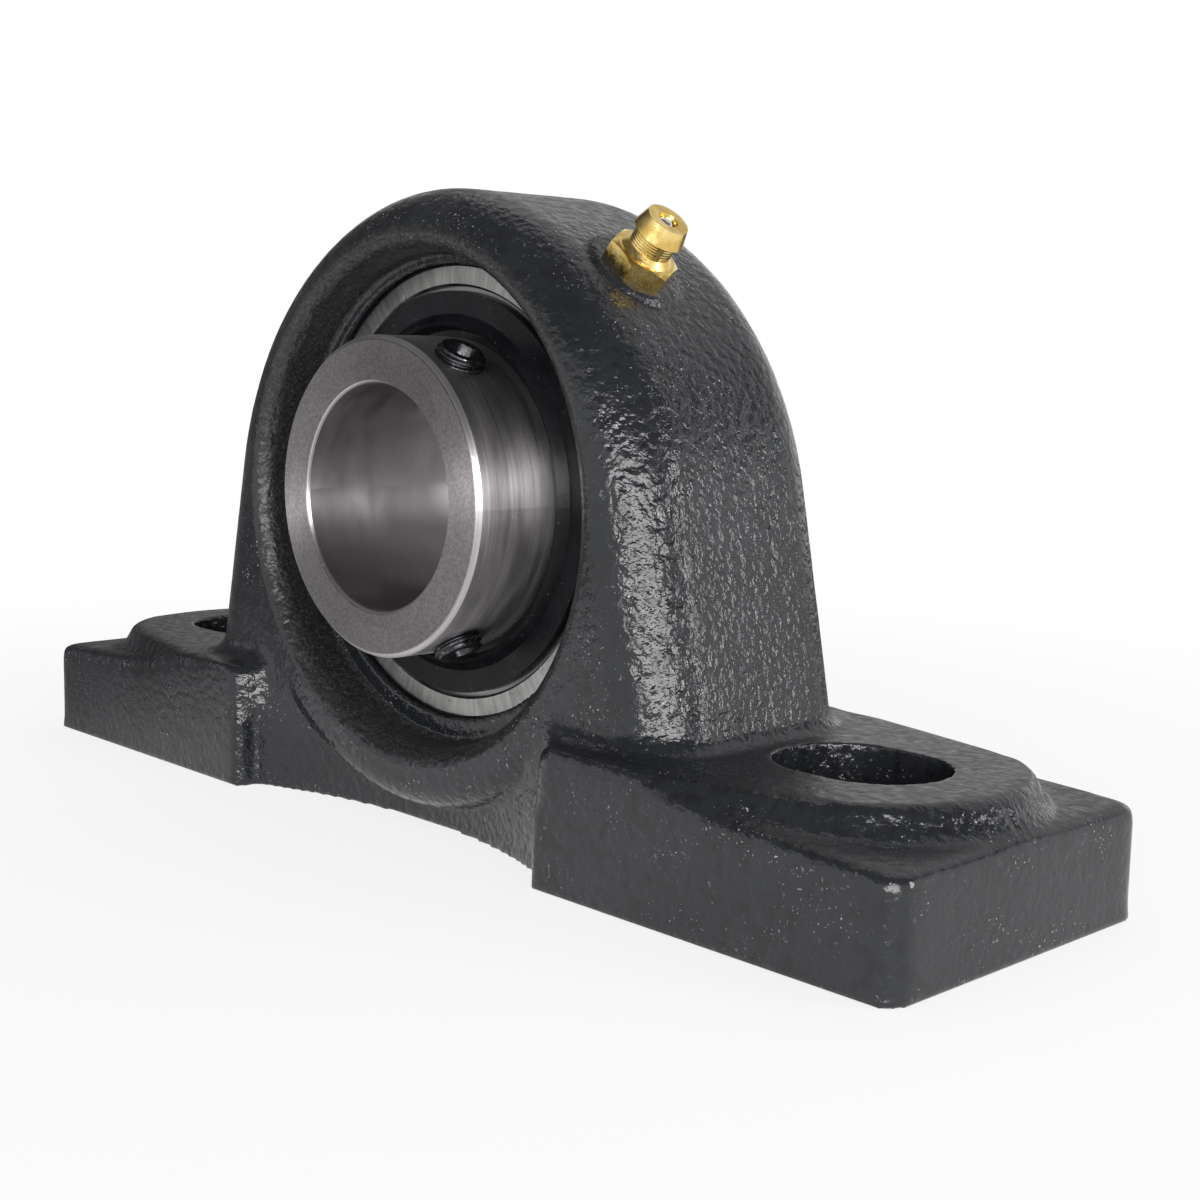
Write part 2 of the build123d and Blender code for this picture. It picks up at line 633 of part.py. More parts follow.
# The ball rests where the cone under the throat is tangent to it.
THROAT_LEAN = atan2(THROAT_Z - CHANNEL_TOP_Z, CHANNEL_R - THROAT_R)
CHECK_BALL_Z = CHANNEL_TOP_Z - (
    CHECK_BALL_R + CHECK_BALL_SEAT - CHANNEL_R * sin(THROAT_LEAN)
) / cos(THROAT_LEAN)
SPRING_LOW_Z = CHANNEL_LOW_Z + SPRING_WIRE_R + SPRING_GAP
SPRING_REACH = CHECK_BALL_R + SPRING_WIRE_R + SPRING_GAP
SPRING_HIGH_Z = CHECK_BALL_Z - sqrt(SPRING_REACH ** 2 - SPRING_COIL_R ** 2)


def turned_up(points):
    """Solid turned about +Z; points are (radius, z)."""
    profile = Plane.XZ * Polyline(*points, close=True)
    return revolve(make_face(profile), axis=Axis.Z, revolution_arc=360)


def nipple_body():
    corner = HEX_AF / 2 / cos(pi / 6)
    hexagon = extrude(RegularPolygon(HEX_AF / 2, 6, major_radius=False), amount=HEX_HEIGHT)
    hexagon = Rot(0, 0, HEX_TURN) * hexagon
    hexagon &= turned_up(
        [
            (0, 0), (corner, 0), (corner, HEX_HEIGHT - HEX_CHAMFER),
            (corner - HEX_CHAMFER / tan(radians(30)), HEX_HEIGHT), (0, HEX_HEIGHT),
        ]
    )
    low = -NIPPLE_SHANK_L
    body = hexagon + turned_up(
        [
            (0, low), (NIPPLE_SHANK_R - NIPPLE_SHANK_CHAMFER, low),
            (NIPPLE_SHANK_R, low + NIPPLE_SHANK_CHAMFER), (NIPPLE_SHANK_R, HEX_HEIGHT / 2),
            (NECK_R + NECK_FLARE, HEX_HEIGHT), (NECK_R, HEX_HEIGHT + NECK_FLARE),
            (NECK_R, NECK_TOP_Z), (HEAD_R, HEAD_LOW_Z), (HEAD_TOP_R, NIPPLE_TOP_Z),
            (0, NIPPLE_TOP_Z),
        ]
    )
    body -= turned_up(
        [
            (0, low - 1), (CHANNEL_SMALL_R, low - 1), (CHANNEL_SMALL_R, CHANNEL_LOW_Z),
            (CHANNEL_R, CHANNEL_LOW_Z), (CHANNEL_R, CHANNEL_TOP_Z), (THROAT_R, THROAT_Z),
            (MOUTH_R, NIPPLE_TOP_Z), (MOUTH_R, NIPPLE_TOP_Z + 1), (0, NIPPLE_TOP_Z + 1),
        ]
    )
    return NIPPLE_PLACE * body


def nipple_ball():
    return NIPPLE_PLACE * (Pos(0, 0, CHECK_BALL_Z) * Sphere(CHECK_BALL_R))


def nipple_spring():
    height = SPRING_HIGH_Z - SPRING_LOW_Z
    path = Helix(height / SPRING_TURNS, height, SPRING_COIL_R)
    section = Plane(origin=path @ 0, z_dir=path % 0) * Circle(SPRING_WIRE_R)
    return NIPPLE_PLACE * (Pos(0, 0, SPRING_LOW_Z) * sweep(section, path=path))


nodes = {
    "housing": housing(),
    "outer_ring": outer_ring(),
    "inner_ring": inner_ring(),
    "cage_front": cage_half(),
    "cage_rear": mirrored(cage_half()),
    "cage_rivets": rivets(),
    "seal_front_carrier": seal_carrier(),
    "seal_rear_carrier": mirrored(seal_carrier()),
    "seal_front_lip": seal_lip(),
    "seal_rear_lip": mirrored(seal_lip()),
    "flinger_front": flinger(),
    "flinger_rear": mirrored(flinger()),
    "set_screw_upper": set_screw("upper"),
    "set_screw_lower": set_screw("lower"),
    "grease_nipple_body": nipple_body(),
    "grease_nipple_ball": nipple_ball(),
    "grease_nipple_spring": nipple_spring(),
}
for number, ball in enumerate(balls(BALL_R), start=1):
    nodes[f"ball_{number}"] = ball

os.makedirs("parts", exist_ok=True)
for name, shape in nodes.items():
    export_step(shape, f"parts/{name}.step")
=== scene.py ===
import json
import math

import bpy
import numpy as np
from mathutils import Matrix, Vector, noise
from mathutils.bvhtree import BVHTree


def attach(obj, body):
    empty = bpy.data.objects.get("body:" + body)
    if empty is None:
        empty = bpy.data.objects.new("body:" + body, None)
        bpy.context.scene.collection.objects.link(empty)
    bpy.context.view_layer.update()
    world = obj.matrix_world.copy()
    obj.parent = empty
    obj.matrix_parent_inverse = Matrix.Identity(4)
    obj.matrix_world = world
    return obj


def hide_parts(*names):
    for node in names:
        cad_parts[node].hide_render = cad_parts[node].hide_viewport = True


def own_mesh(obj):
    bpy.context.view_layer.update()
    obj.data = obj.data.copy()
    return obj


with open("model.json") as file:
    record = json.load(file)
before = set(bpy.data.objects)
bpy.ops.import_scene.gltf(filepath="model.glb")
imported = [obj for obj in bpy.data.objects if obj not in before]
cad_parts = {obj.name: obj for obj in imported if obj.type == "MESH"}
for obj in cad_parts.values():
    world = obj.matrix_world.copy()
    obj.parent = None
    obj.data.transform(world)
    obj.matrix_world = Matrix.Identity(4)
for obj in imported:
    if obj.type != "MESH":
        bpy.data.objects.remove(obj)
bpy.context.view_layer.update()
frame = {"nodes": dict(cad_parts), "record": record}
nodes = frame["nodes"]

MM = 0.001
SHAFT_HEIGHT = 42.9             # sizes without MM are in millimetres
SHAFT_Z = SHAFT_HEIGHT * MM
NIPPLE_LEAN = math.radians(47)  # from +X towards +Z, about the shaft
NIPPLE_AXIS = (math.cos(NIPPLE_LEAN), 0, math.sin(NIPPLE_LEAN))
NIPPLE_Y = -3.7
NECK_LOW, NECK_HIGH = 42.5 * MM, 44.3 * MM      # the nipple's neck, from the shaft's axis
TURN_PITCH = 0.34 * MM          # between the tool marks on that neck
SCREW_ANGLE, SCREW_Y = 60, -16.9                # both set screws
RING_R = 20.15                  # outside of the inner ring, round the screws
SEAT_R, SEAT_HALF = 31.3, 10.9  # a ball and a half width that hold the spherical seat
SEAT_OPENING = 0.045            # lets the faceted ring tilt in the faceted seat
CASTING_VOXEL = 0.5
FOCAL_PX, PHOTO_PX = 1809.10, 1200              # of the camera fitted to the photograph

# ---------------------------------------------------------------- camera
# A pinhole at the photograph's viewpoint, in metres in the CAD frame.
AZ, EL, ROLL = (math.radians(a) for a in (45.881, 8.192, 1.296))
back = Vector((math.sin(AZ) * math.cos(EL), -math.cos(AZ) * math.cos(EL), math.sin(EL)))
right = (-back).cross(Vector((0, 0, 1))).normalized()
up = right.cross(-back)
cam_x = math.cos(ROLL) * right + math.sin(ROLL) * up
cam_y = -math.sin(ROLL) * right + math.cos(ROLL) * up
place = cam_x * 0.013174 + cam_y * 0.027852 + back * 0.246962
camera_data = bpy.data.cameras.new("camera")
camera = bpy.data.objects.new("camera", camera_data)
bpy.context.collection.objects.link(camera)
camera.matrix_world = Matrix(
    [[cam_x[i], cam_y[i], back[i], place[i]] for i in range(3)] + [[0, 0, 0, 1]]
)
camera_data.sensor_width = 36.0
camera_data.lens = camera_data.sensor_width * FOCAL_PX / PHOTO_PX
camera_data.clip_start = 0.01
camera_data.clip_end = 20
bpy.context.scene.camera = camera
bpy.context.scene.view_settings.view_transform = "Standard"


# ---------------------------------------------------------------- node helpers
class Nodes:
    """A node tree that grows one call at a time."""

    def __init__(self, tree):
        self.tree = tree

    def add(self, kind, **settings):
        node = self.tree.nodes.new(kind)
        for key, value in settings.items():
            setattr(node, key, value)
        return node

    def link(self, value, socket):
        if isinstance(value, bpy.types.NodeSocket):
            self.tree.links.new(value, socket)
        else:
            socket.default_value = value

    def math(self, operation, a, b=0.0):
        node = self.add("ShaderNodeMath", operation=operation)
        self.link(a, node.inputs[0])
        self.link(b, node.inputs[1])
        return node.outputs[0]

    def ramp(self, value, low, high, start=0.0, end=1.0):
        node = self.add("ShaderNodeMapRange", interpolation_type="SMOOTHSTEP")
        for key, v in (("Value", value), ("From Min", low), ("From Max", high),
                       ("To Min", start), ("To Max", end)):
            self.link(v, node.inputs[key])
        return node.outputs[0]

    def split(self, vector):
        node = self.add("ShaderNodeSeparateXYZ")
        self.link(vector, node.inputs[0])
        return node.outputs

    def seen_rays(self):
        """(any camera, glossy or transmission ray; camera ray), each 0 or 1."""
        rays = self.add("ShaderNodeLightPath").outputs
        mirrored = self.math("MAXIMUM", rays["Is Glossy Ray"], rays["Is Transmission Ray"])
        return self.math("MAXIMUM", rays["Is Camera Ray"], mirrored), rays["Is Camera Ray"]


class Shader(Nodes):
    """A material on Principled BSDF, patterned by the place on the object."""

    def __init__(self, name, color, metallic, roughness):
        self.material = bpy.data.materials.new(name)
        self.material.use_nodes = True
        super().__init__(self.material.node_tree)
        self.surface = self.tree.nodes["Principled BSDF"]
        self.surface.inputs["Base Color"].default_value = (*color, 1)
        self.surface.inputs["Metallic"].default_value = metallic
        self.surface.inputs["Roughness"].default_value = roughness
        self.coordinates = self.add("ShaderNodeTexCoord")
        self.place = self.coordinates.outputs["Object"]

    def noise(self, scale, detail=2.0, rough=0.5, place=None):
        node = self.add("ShaderNodeTexNoise")
        self.link(place or self.place, node.inputs["Vector"])
        node.inputs["Scale"].default_value = scale
        node.inputs["Detail"].default_value = detail
        node.inputs["Roughness"].default_value = rough
        return node.outputs["Fac"]

    def wavy_place(self, scale, amount):
        """The place, shifted this way and that by a colour noise."""
        shift = self.add("ShaderNodeTexNoise")
        self.link(self.place, shift.inputs["Vector"])
        shift.inputs["Scale"].default_value = scale
        scaled = self.add("ShaderNodeVectorMath", operation="MULTIPLY")
        self.link(shift.outputs["Color"], scaled.inputs[0])
        scaled.inputs[1].default_value = (amount, amount, amount)
        wave = self.add("ShaderNodeVectorMath", operation="ADD")
        self.link(self.place, wave.inputs[0])
        self.link(scaled.outputs[0], wave.inputs[1])
        return wave.outputs[0]

    def cells(self, scale, place):
        node = self.add("ShaderNodeTexVoronoi", feature="SMOOTH_F1")
        self.link(place, node.inputs["Vector"])
        node.inputs["Scale"].default_value = scale
        return node.outputs["Distance"]

    def mix(self, factor, a, b):
        node = self.add("ShaderNodeMix", data_type="RGBA")
        self.link(factor, node.inputs["Factor"])
        for value, index in ((a, 6), (b, 7)):
            self.link((*value, 1) if isinstance(value, tuple) else value, node.inputs[index])
        return node.outputs[2]

    def length(self, a, b):
        squares = self.math("ADD", self.math("MULTIPLY", a, a), self.math("MULTIPLY", b, b))
        return self.math("SQRT", squares)

    def polar(self):
        """Radius, angle and y about the shaft's axis."""
        x, y, height = self.split(self.place)
        z = self.math("SUBTRACT", height, SHAFT_Z)
        return self.length(x, z), self.math("ARCTAN2", z, x), y

    def vector(self, x, y, z):
        node = self.add("ShaderNodeCombineXYZ")
        for value, socket in zip((x, y, z), node.inputs):
            self.link(value, socket)
        return node.outputs[0]

    def bump(self, height, distance):
        node = self.add("ShaderNodeBump")
        self.link(height, node.inputs["Height"])
        node.inputs["Distance"].default_value = distance
        node.inputs["Strength"].default_value = 1.0
        return node.outputs["Normal"]

    def finish(self, color=None, roughness=None, normal=None):
        for value, key in ((color, "Base Color"), (roughness, "Roughness"), (normal, "Normal")):
            if value is not None:
                self.link(value, self.surface.inputs[key])
        return self.material


# ---------------------------------------------------------------- materials
def enamel_over_casting():
    """Dark enamel that follows the sand grain below it, with painted shade in the creases of its
    crackle and painted glints as pale specks and soft patches.
    """
    s = Shader("casting_enamel", (0.026, 0.027, 0.030), 0, 0.22)
    s.surface.inputs["Specular IOR Level"].default_value = 0.50
    x, y, z = s.split(s.place)
    across, depth = s.math("ABSOLUTE", x), s.math("ABSOLUTE", y)
    radius = s.polar()[0]
    _, out_y, out_z = s.split(s.coordinates.outputs["Normal"])
    upward = s.ramp(out_z, 0.85, 0.97)

    tint = s.mix(s.ramp(s.noise(60, 3), 0.3, 0.7), (0.009, 0.010, 0.012), (0.016, 0.017, 0.020))
    crackle = s.cells(760, s.wavy_place(900, 0.9 * MM))
    # Painted shade: the crackle's creases are darkened in the colour.
    crease_shade = s.ramp(crackle, 0.42, 0.72)
    tint = s.mix(s.math("MULTIPLY", crease_shade, 0.65), tint, (0.007, 0.007, 0.008))
    # Painted glints: small pale specks, thicker where a broader noise allows.
    painted_glint = s.math("MULTIPLY", s.ramp(s.noise(3100, 1, 0.4), 0.695, 0.75),
                   s.ramp(s.noise(150, 2), 0.46, 0.66))
    tint = s.mix(painted_glint, tint, (0.30, 0.30, 0.31))
    # Painted glints: larger, softer grey patches.
    soft_glint_patch = s.math("MULTIPLY", s.ramp(s.noise(1300, 2, 0.6), 0.66, 0.72),
                  s.ramp(s.noise(90, 2), 0.44, 0.60))
    tint = s.mix(soft_glint_patch, tint, (0.085, 0.088, 0.090))
    pocket = s.math("MULTIPLY", s.ramp(radius, 32.6 * MM, 34.2 * MM, 1.0, 0.0),
                    s.ramp(depth, 10.8 * MM, 11.2 * MM))
    sand = s.mix(s.ramp(s.noise(2900, 3, 0.6), 0.45, 0.66),
                 (0.010, 0.010, 0.009), (0.050, 0.050, 0.042))
    tint = s.mix(s.math("MULTIPLY", pocket, 0.7), tint, sand)

    rough = s.ramp(s.noise(700, 2), 0.3, 0.7, 0.12, 0.26)
    rough = s.math("ADD", rough, s.math("MULTIPLY", upward, 0.22))
    rough = s.math("ADD", rough, s.math("MULTIPLY", pocket, 0.20))

    # The relief is calmer on the front and back, on flat tops and on the feet's ends.
    facing = s.ramp(s.math("ABSOLUTE", out_y), 0.80, 0.98, 1.0, 0.52)
    web = s.math("MULTIPLY", s.ramp(radius, 40.4 * MM, 41.4 * MM),
                 s.ramp(z, 15 * MM, 18 * MM, 1.0, 0.0))
    inner = s.ramp(across, 29 * MM, 31 * MM, 1.0, 0.0)
    facing = s.math("MAXIMUM", facing, s.math("MULTIPLY", web, inner))
    flat = s.ramp(out_z, 0.85, 0.97, 1.0, 0.45)
    end = s.ramp(across, 80.6 * MM, 82.2 * MM, 1.0, 0.25)
    grain = s.noise(1150, 2, 0.5)
    height = s.math("SUBTRACT", s.math("MULTIPLY", grain, 0.8), s.math("MULTIPLY", crackle, 0.6))
    height = s.math("MULTIPLY", s.math("MULTIPLY", height, facing), s.math("MULTIPLY", end, flat))
    return s.finish(tint, rough, s.bump(height, 0.26 * MM))


def ground_steel(name, color, lay, rough, streak=0.02 * MM, across=0.0):
    """Ground steel; lay is "turned" for marks round the shaft or "radial" for marks across."""
    s = Shader(name, color, 1, rough)
    radius, angle, y = s.polar()

    def polar_noise(by_radius, by_angle, by_y, rough):
        place = s.vector(s.math("MULTIPLY", radius, by_radius), s.math("MULTIPLY", angle, by_angle),
                         s.math("MULTIPLY", y, by_y))
        return s.noise(1.0, 3, rough, place)

    if lay == "radial":
        line, dull = polar_noise(90, 42, 0, 0.65), s.noise(300, 3)
    else:
        line, dull = polar_noise(3400, 1, 3400, 0.65), polar_noise(260, 1.4, 260, 0.5)
    shade = tuple(c * 0.66 for c in color)
    tint = s.mix(s.ramp(line, 0.30, 0.72), shade, color)
    tint = s.mix(s.ramp(dull, 0.55, 0.75, 0.0, 0.4), tint, tuple(c * 0.45 for c in color))
    roughness = s.ramp(dull, 0.3, 0.7, rough * 0.85, rough * 1.2)
    nick = s.ramp(s.noise(1400, 1), 0.72, 0.78)
    height = s.math("SUBTRACT", line, s.math("MULTIPLY", nick, 2.0))
    if across:
        s.surface.inputs["Anisotropic"].default_value = across
        s.surface.inputs["Anisotropic Rotation"].default_value = 0.25
        around = s.add("ShaderNodeTangent", direction_type="RADIAL", axis="Y")
        s.link(around.outputs[0], s.surface.inputs["Tangent"])
    return s, tint, roughness, s.bump(height, streak)


def plain_ground_steel(name, color, lay, rough):
    s, tint, roughness, normal = ground_steel(name, color, lay, rough)
    return s.finish(tint, roughness, normal)


def inner_ring_steel():
    """Matt ground face, a turned outside and a bore darkened by painted shade."""
    s, tint, roughness, normal = ground_steel(
        "inner_ring_steel", (0.66, 0.63, 0.65), "turned", 0.38, streak=0.006 * MM, across=0.85)
    radius, _, y = s.polar()
    face = s.ramp(y, -22.15 * MM, -22.05 * MM, 1.0, 0.0)
    matt = s.mix(s.ramp(s.noise(2600, 3, 0.6), 0.3, 0.7),
                 (0.21, 0.195, 0.205), (0.30, 0.285, 0.295))
    tint = s.mix(face, tint, matt)
    # Painted shade: the bore is darkened in the colour.
    bore = s.ramp(radius, 14.4 * MM, 14.5 * MM, 1.0, 0.0)
    tint = s.mix(bore, tint, (0.31, 0.29, 0.30))
    roughness = s.math("ADD", roughness, s.math("MULTIPLY", face, 0.12))
    return s.finish(tint, roughness, normal)


def black_enamel():
    s = Shader("black_enamel", (0.008, 0.008, 0.009), 0, 0.28)
    s.surface.inputs["Specular IOR Level"].default_value = 0.14
    tint = s.mix(s.ramp(s.noise(150, 3), 0.35, 0.7), (0.004, 0.004, 0.005), (0.009, 0.008, 0.010))
    dust = s.ramp(s.noise(3200, 1), 0.75, 0.79)
    tint = s.mix(s.math("MULTIPLY", dust, 0.5), tint, (0.25, 0.24, 0.23))
    rough = s.ramp(s.noise(200, 3), 0.3, 0.7, 0.24, 0.34)
    return s.finish(tint, rough, s.bump(s.noise(900, 2), 0.02 * MM))


def black_oxide():
    s = Shader("black_oxide_steel", (0.09, 0.09, 0.095), 1, 0.36)
    wear = s.ramp(s.noise(1500, 3), 0.55, 0.70)
    tint = s.mix(wear, (0.055, 0.055, 0.06), (0.22, 0.22, 0.22))
    rough = s.ramp(s.noise(2200, 2), 0.3, 0.7, 0.28, 0.46)
    return s.finish(tint, rough, s.bump(s.noise(3500, 2), 0.03 * MM))


def turned_brass():
    """Brass turned about the nipple's own axis, with tool marks round its neck."""
    s = Shader("turned_brass", (0.78, 0.58, 0.22), 1, 0.24)
    tint = s.mix(s.ramp(s.noise(500, 3), 0.35, 0.7), (0.68, 0.46, 0.12), (0.94, 0.72, 0.29))
    rough = s.ramp(s.noise(1600, 2), 0.3, 0.7, 0.16, 0.30)
    dot = s.add("ShaderNodeVectorMath", operation="DOT_PRODUCT")
    s.link(s.place, dot.inputs[0])
    dot.inputs[1].default_value = NIPPLE_AXIS
    along = dot.outputs["Value"]
    reach = s.math("SUBTRACT", along, SHAFT_Z * math.sin(NIPPLE_LEAN))
    neck = s.math("MULTIPLY", s.ramp(reach, NECK_LOW, NECK_LOW + 0.1 * MM),
                  s.ramp(reach, NECK_HIGH - 0.1 * MM, NECK_HIGH, 1.0, 0.0))
    groove = s.math("SINE", s.math("MULTIPLY", along, 2 * math.pi / TURN_PITCH))
    groove = s.math("MULTIPLY", groove, s.math("ADD", 0.05, s.math("MULTIPLY", neck, 0.30)))
    height = s.math("ADD", groove, s.math("MULTIPLY", s.noise(1500, 2), 0.9))
    return s.finish(tint, rough, s.bump(height, 0.018 * MM))


def rubber():
    s = Shader("seal_rubber", (0.02, 0.02, 0.02), 0, 0.6)
    tint = s.mix(s.noise(700, 2), (0.014, 0.014, 0.014), (0.032, 0.032, 0.032))
    rough = s.ramp(s.noise(900, 2), 0.3, 0.7, 0.5, 0.7)
    return s.finish(tint, rough, s.bump(s.noise(2000, 2), 0.03 * MM))


def bright_ball():
    s = Shader("ball_steel", (0.75, 0.75, 0.76), 1, 0.08)
    tint = s.mix(s.noise(900, 2), (0.68, 0.68, 0.69), (0.80, 0.80, 0.81))
    return s.finish(tint, s.ramp(s.noise(1500, 2), 0.3, 0.7, 0.05, 0.12))


enamel = enamel_over_casting()
by_slot = {
    "housing_enamel": enamel,
    "ring_steel": plain_ground_steel("outer_ring_steel", (0.44, 0.44, 0.43), "radial", 0.34),
    "inner_ring_steel": inner_ring_steel(),
    "cage_steel": plain_ground_steel("cage_steel", (0.50, 0.50, 0.50), "turned", 0.36),
    "rivet_steel": plain_ground_steel("rivet_steel", (0.58, 0.58, 0.58), "radial", 0.30),
    "seal_steel": plain_ground_steel("seal_steel", (0.42, 0.42, 0.42), "turned", 0.42),
    "seal_rubber": rubber(),
    "flinger_enamel": black_enamel(),
    "black_oxide": black_oxide(),
    "nipple_brass": turned_brass(),
    "ball_steel": bright_ball(),
    "spring_steel": plain_ground_steel("spring_steel", (0.62, 0.62, 0.62), "turned", 0.25),
}
for part in frame["record"]["subparts"]:
    mesh = nodes[part["node"]].data
    mesh.materials.clear()
    mesh.materials.append(by_slot[part["material_slot"]])


# ---------------------------------------------------------------- the casting
def even_mesh(source, name, voxel):
    """A copy of a node as a fine even mesh whose points lie on the node's surface."""
    piece = bpy.data.objects.new(name, source.data.copy())
    bpy.context.collection.objects.link(piece)
    remesh = piece.modifiers.new("remesh", "REMESH")
    remesh.mode = "VOXEL"
    remesh.voxel_size = voxel
    graph = bpy.context.evaluated_depsgraph_get()
    piece.data = bpy.data.meshes.new_from_object(piece.evaluated_get(graph))
    piece.modifiers.clear()
    tree = BVHTree.FromPolygons([v.co for v in source.data.vertices],
                                [p.vertices for p in source.data.polygons])
    move_points(piece, np.array([tree.find_nearest(v.co)[0] for v in piece.data.vertices], float))
    return piece


def step(values, low, high):
    t = np.clip((values - low) / (high - low), 0, 1)
    return t * t * (3 - 2 * t)


def field(points, size, seed):
    """Smooth noise from -1 to 1 at each point; size is its wavelength in mm."""
    shift = Vector((seed * 17.3, seed * 5.1, -seed * 9.7))
    return np.array([noise.noise(Vector(p) / size + shift) for p in points])


def points_of(piece):
    co = np.empty(len(piece.data.vertices) * 3)
    piece.data.vertices.foreach_get("co", co)
    return co.reshape(-1, 3)


def move_points(piece, co):
    piece.data.vertices.foreach_set("co", co.ravel())
    piece.data.update()


def soften(piece, weight, rounds):
    """Evens out the skin where weight is above 0, as a moulder's fillet would."""
    mesh = piece.data
    co = points_of(piece)
    count = len(co)
    pairs = np.empty(len(mesh.edges) * 2, dtype=int)
    mesh.edges.foreach_get("vertices", pairs)
    a, b = pairs.reshape(-1, 2).T
    near = (weight[a] > 0) | (weight[b] > 0)
    a, b = a[near], b[near]
    share = np.bincount(a, minlength=count) + np.bincount(b, minlength=count)
    share = np.maximum(share, 1)
    for _ in range(rounds):
        for k in range(3):
            total = np.bincount(a, co[b, k], count) + np.bincount(b, co[a, k], count)
            co[:, k] += weight * (total / share - co[:, k])
    move_points(piece, co)


def web_ends(piece):
    """How much each point belongs to the tops of the web's ends, beside the feet."""
    x, y, z = points_of(piece).T / MM
    across = step(np.abs(x), 23.5, 26) * step(-np.abs(x), -33.5, -31.5)
    height = step(z, 8.5, 11.5) * step(-z, -20, -18)
    return 0.6 * across * height * step(np.abs(y), 11, 13)


def foot_edges(piece):
    """How much each point belongs to the feet's upper edges and ends."""
    x, y, z = points_of(piece).T / MM
    upper = step(np.abs(y), 15.5, 17.0) * step(z, 9, 11) * step(-z, -21, -19)
    end = step(np.abs(x), 76.5, 78.5) * step(z, 0.5, 1.6)
    return 0.6 * step(np.abs(x), 38, 42) * np.maximum(upper, end)


def nipple_spot(co):
    """Which points lie on the flat that the grease nipple is screwed down on."""
    axis = np.array(NIPPLE_AXIS)
    rel = co - np.array((0, NIPPLE_Y, SHAFT_HEIGHT))
    along = rel @ axis
    across = np.linalg.norm(rel - np.outer(along, axis), axis=1)
    return (across < 5.6) & (along > 25)


def cast_relief(piece):
    """Sinks the skin by the relief of a sand casting, and leaves machined faces alone."""
    co = points_of(piece)
    normal = np.empty(len(co) * 3)
    piece.data.vertex_normals.foreach_get("vector", normal)
    co, normal = co / MM, normal.reshape(-1, 3)
    x, y, z = co.T
    r = np.hypot(x, z - SHAFT_HEIGHT)
    seat = (np.sqrt(r ** 2 + y ** 2) < SEAT_R) & (np.abs(y) < SEAT_HALF)

    # Coarser on the flanks, the crown, the web and the pocket; calmer on front and feet.
    flank = step(np.abs(x), 30, 36) * step(z, 16, 19) + step(z, 70, 76) * 0.6
    facing = step(-normal[:, 1], 0.93, 0.99) * step(r, 30, 32)
    coarse = 0.030 + 0.035 * np.clip(flank, 0, 1)
    coarse *= (1 - 0.6 * facing) * (1 - 0.6 * step(-z, -20, -17))
    coarse *= 1 - 0.7 * step(np.abs(x), 80.5, 82)
    coarse = np.where((np.abs(x) < 30) & (z < 17) & (r > 40.6), 0.09, coarse)
    coarse = np.where((np.abs(y) < 19) & (r < 36) & (r > 31.2), 0.08, coarse)

    lump = field(co, 2.6, 1) * 0.55 + field(co, 1.35, 2) * 0.45
    grain = field(co, 0.8, 3)
    broad = field(co, 11, 4)
    sunk = coarse * (lump * 0.5 + 0.5) + 0.015 * (grain * 0.5 + 0.5) + 0.05 * (broad * 0.5 + 0.5)
    sunk = np.where(nipple_spot(co), 0, sunk) * step(z, 0.3, 2.2)
    sunk = np.where(seat, SEAT_OPENING, sunk)
    move_points(piece, (co - normal * sunk[:, None]) * MM)


casting = even_mesh(nodes["housing"], "housing_casting", CASTING_VOXEL * MM)
soften(casting, web_ends(casting), 40)
soften(casting, foot_edges(casting), 16)
cast_relief(casting)
casting.data.shade_smooth()
casting.data.materials.clear()
casting.data.materials.append(enamel)
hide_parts("housing")
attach(casting, "pillow_block")


# ---------------------------------------------------------------- set screws
def grid_faces(rows, columns):
    """Quads of a grid that closes round its columns."""
    faces = []
    for i in range(rows - 1):
        for j in range(columns):
            k = (j + 1) % columns
            a, b = i * columns, (i + 1) * columns
            faces.append((a + j, a + k, b + k, b + j))
    return faces


def new_piece(name, points, faces, material, body, node):
    mesh = bpy.data.meshes.new(name)
    mesh.from_pydata([tuple(p) for p in points], [], faces)
    mesh.materials.append(material)
    mesh.update()
    piece = bpy.data.objects.new(name, mesh)
    bpy.context.collection.objects.link(piece)
    mesh.shade_smooth()
    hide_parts(node)
    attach(piece, body)


def axis_frame(angle, y, reach):
    """Matrix whose +Z points away from the shaft at that angle, in mm."""
    a = math.radians(angle)
    out = Vector((math.cos(a), 0, math.sin(a)))
    along = Vector((0, 1, 0))
    side = along.cross(out)
    origin = out * reach + Vector((0, y, SHAFT_HEIGHT))
    return Matrix([[side[i], along[i], out[i], origin[i]] for i in range(3)] + [[0, 0, 0, 1]])


def hexagon(angle, across_flats, corner_round=0.08):
    """Reach of a round-cornered hexagon at an angle."""
    fold = (angle + math.pi / 6) % (math.pi / 3) - math.pi / 6
    corner = (abs(fold) / (math.pi / 6)) ** 8
    return across_flats / 2 / math.cos(fold) * (1 - corner_round * corner)


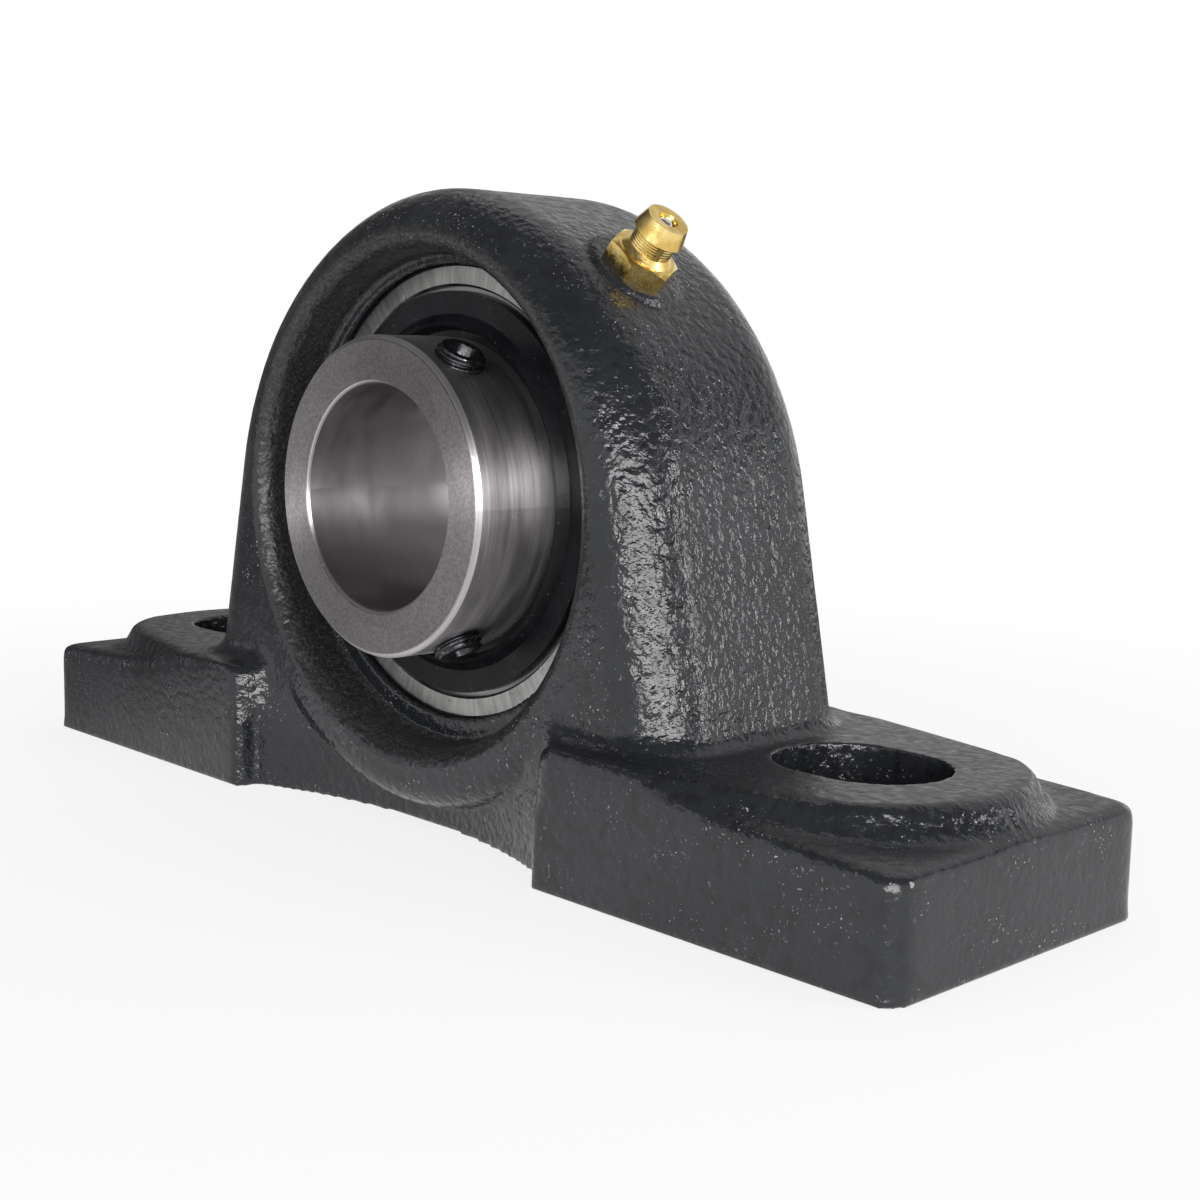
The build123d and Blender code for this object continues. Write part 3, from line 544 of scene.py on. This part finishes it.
def set_screw(name, angle, stand):
    """Cup-point set screw with a cut thread and a hexagon socket; stand is past the ring."""
    radius, length, pitch, depth = 3.12, 6.35, 0.907, 0.42
    socket_af, socket_depth, cup_r = 3.175, 2.6, 1.5
    turns, steps = 48, 84
    rows = []
    for i in range(steps + 1):
        z = length * i / steps
        row = []
        for j in range(turns):
            t = 2 * math.pi * j / turns
            phase = (z / pitch - j / turns) % 1
            tooth = min(1, max(0, 1.9 * (1 - abs(2 * phase - 1)) - 0.35))
            end = min(z, length - z)
            limit = radius - max(0, 0.5 - end)
            r = min(limit, radius - depth * (1 - tooth))
            row.append((r * math.cos(t), r * math.sin(t), z))
        rows.append(row)

    def ring(z, size):
        angles = [2 * math.pi * j / turns for j in range(turns)]
        return [(size(t) * math.cos(t), size(t) * math.sin(t), z) for t in angles]

    rows.append(ring(length, lambda t: hexagon(t, socket_af + 0.35)))
    rows.append(ring(length - 0.10, lambda t: hexagon(t, socket_af + 0.05)))
    rows.append(ring(length - 0.14, lambda t: hexagon(t, socket_af)))
    rows.append(ring(length - socket_depth, lambda t: hexagon(t, socket_af)))
    rows.append(ring(length - socket_depth - 0.35, lambda t: 0.02))
    lower = [ring(0, lambda t: cup_r), ring(0.6, lambda t: 0.02)]
    rows = lower[::-1] + rows
    points = [p for row in rows for p in row]
    faces = grid_faces(len(rows), turns)
    faces.append(tuple(range(turns - 1, -1, -1)))
    faces.append(tuple(range((len(rows) - 1) * turns, len(rows) * turns)))
    matrix = axis_frame(angle, SCREW_Y, RING_R + stand - length)
    points = [(matrix @ Vector(p)) * MM for p in points]
    new_piece(f"set_screw_{name}_threaded", points, faces, by_slot["black_oxide"],
              f"{name}_screw", f"set_screw_{name}")


set_screw("upper", SCREW_ANGLE, 1.3)
set_screw("lower", -SCREW_ANGLE, 1.5)


# ---------------------------------------------------------------- nipple spring
def check_spring():
    """A smooth-shaded copy of the grease nipple's spring, fixed to the pillow block."""
    node = nodes["grease_nipple_spring"]
    piece = bpy.data.objects.new("grease_nipple_coil", node.data.copy())
    bpy.context.collection.objects.link(piece)
    piece.data.shade_smooth()
    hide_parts("grease_nipple_spring")
    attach(piece, "pillow_block")
    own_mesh(piece)


check_spring()


# ---------------------------------------------------------------- floor and light
def floor_material():
    """Pale floor: white further out, with the object's shadow near it, and a darker left
    side in reflections alone."""
    s = Shader("floor", (0.86, 0.86, 0.86), 0, 0.9)
    x, y, _ = s.split(s.place)
    far = s.ramp(s.length(x, y), 0.09, 0.24, 0.80, 1.0)
    seen, by_camera = s.seen_rays()
    left = s.math("SUBTRACT", x, s.math("MULTIPLY", y, 0.6))
    glow = s.add("ShaderNodeEmission")
    s.link(s.math("MAXIMUM", s.ramp(left, -0.09, -0.03, 0.20, 1.0), by_camera),
           glow.inputs["Strength"])
    mixed = s.add("ShaderNodeMixShader")
    s.link(s.math("MULTIPLY", far, seen), mixed.inputs[0])
    s.link(s.surface.outputs[0], mixed.inputs[1])
    s.link(glow.outputs[0], mixed.inputs[2])
    output = next(n for n in s.tree.nodes if n.type == "OUTPUT_MATERIAL")
    s.link(mixed.outputs[0], output.inputs["Surface"])
    return s.material


def floor(radius=3.0, corners=64, drop=0.05 * MM):
    angles = [2 * math.pi * i / corners for i in range(corners)]
    points = [(radius * math.cos(a), radius * math.sin(a), -drop) for a in angles]
    mesh = bpy.data.meshes.new("floor")
    mesh.from_pydata(points, [], [tuple(range(corners))])
    mesh.materials.append(floor_material())
    piece = bpy.data.objects.new("floor", mesh)
    bpy.context.collection.objects.link(piece)


def white_world(level):
    """Lights at that level; seen white, but darker above in reflections and at the far left."""
    world = bpy.data.worlds.new("world")
    bpy.context.scene.world = world
    world.use_nodes = True
    n = Nodes(world.node_tree)
    seen, by_camera = n.seen_rays()
    direction = n.split(n.add("ShaderNodeTexCoord").outputs["Generated"])
    ceiling = n.ramp(direction[2], 0.22, 0.55, 1.0, 0.15)
    left = n.ramp(direction[0], -0.92, -0.74, 0.12, 1.0)
    strength = n.math("MULTIPLY", n.ramp(seen, 0.0, 1.0, level, ceiling),
                      n.math("MAXIMUM", left, by_camera))
    background = n.tree.nodes["Background"]
    background.inputs["Color"].default_value = (1, 1, 1, 1)
    n.link(strength, background.inputs["Strength"])


def softbox(name, place, target, size, watts):
    lamp = bpy.data.lights.new(name, "AREA")
    lamp.shape = "RECTANGLE"
    lamp.size, lamp.size_y = size
    lamp.energy = watts
    box = bpy.data.objects.new(name, lamp)
    bpy.context.collection.objects.link(box)
    box.location = place
    box.rotation_euler = (Vector(target) - Vector(place)).to_track_quat("-Z", "Y").to_euler()


floor()
white_world(0.6)
softbox("key", (0.60, -0.52, 0.16), (0, 0, 0.04), (0.95, 0.26), 6.7)
softbox("side", (0.71, 0.40, 0.20), (0, 0, 0.04), (0.12, 0.40), 1.4)
softbox("rear", (-0.1, 0.55, 0.75), (0, 0, 0.04), (1.3, 0.9), 2.0)
